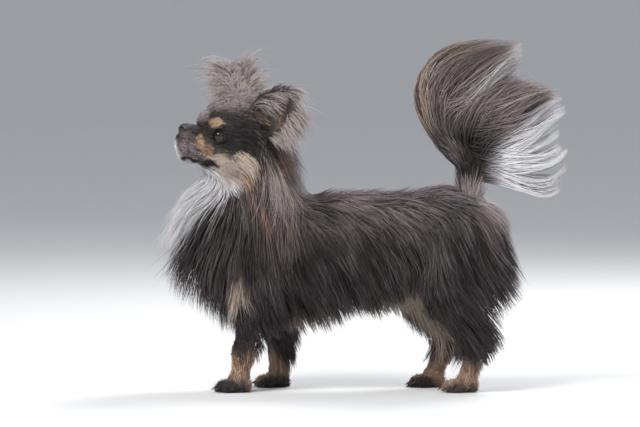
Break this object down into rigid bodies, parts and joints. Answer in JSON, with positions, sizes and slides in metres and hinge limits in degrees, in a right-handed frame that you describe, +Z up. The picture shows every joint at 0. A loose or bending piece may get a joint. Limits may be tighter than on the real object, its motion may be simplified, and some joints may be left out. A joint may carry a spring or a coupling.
{
  "type": "long-haired chihuahua, standing",
  "caption": "Small long-coated dog standing with its head up and its feathered tail carried high over its back; a still, life-size model.",
  "frame": {"origin": "on the floor, under the middle of the whole dog's box", "axes": "-X the way the dog faces, -Y its left side, +Z up"},
  "size_m": [0.373, 0.1174, 0.3173],
  "materials": {
    "dark_fur": "matte",
    "ruff_fur": "matte",
    "ear_fur": "matte",
    "plume_fur": "matte",
    "tan_fur": "matte",
    "nose_leather": "satin",
    "eye": "gloss"
  },
  "bodies": {
    "root": {"eye_left": "eye", "eye_right": "eye", "nose": "nose_leather", "head": "dark_fur", "ear_left": "ear_fur", "ear_right": "ear_fur", "forepaw_left": "tan_fur", "forepaw_right": "tan_fur", "hindpaw_left": "tan_fur", "hindpaw_right": "tan_fur", "foreleg_left": "dark_fur", "foreleg_right": "dark_fur", "hindleg_left": "dark_fur", "hindleg_right": "dark_fur", "neck": "ruff_fur", "tail": "plume_fur", "torso": "dark_fur"}
  },
  "joints": []
}
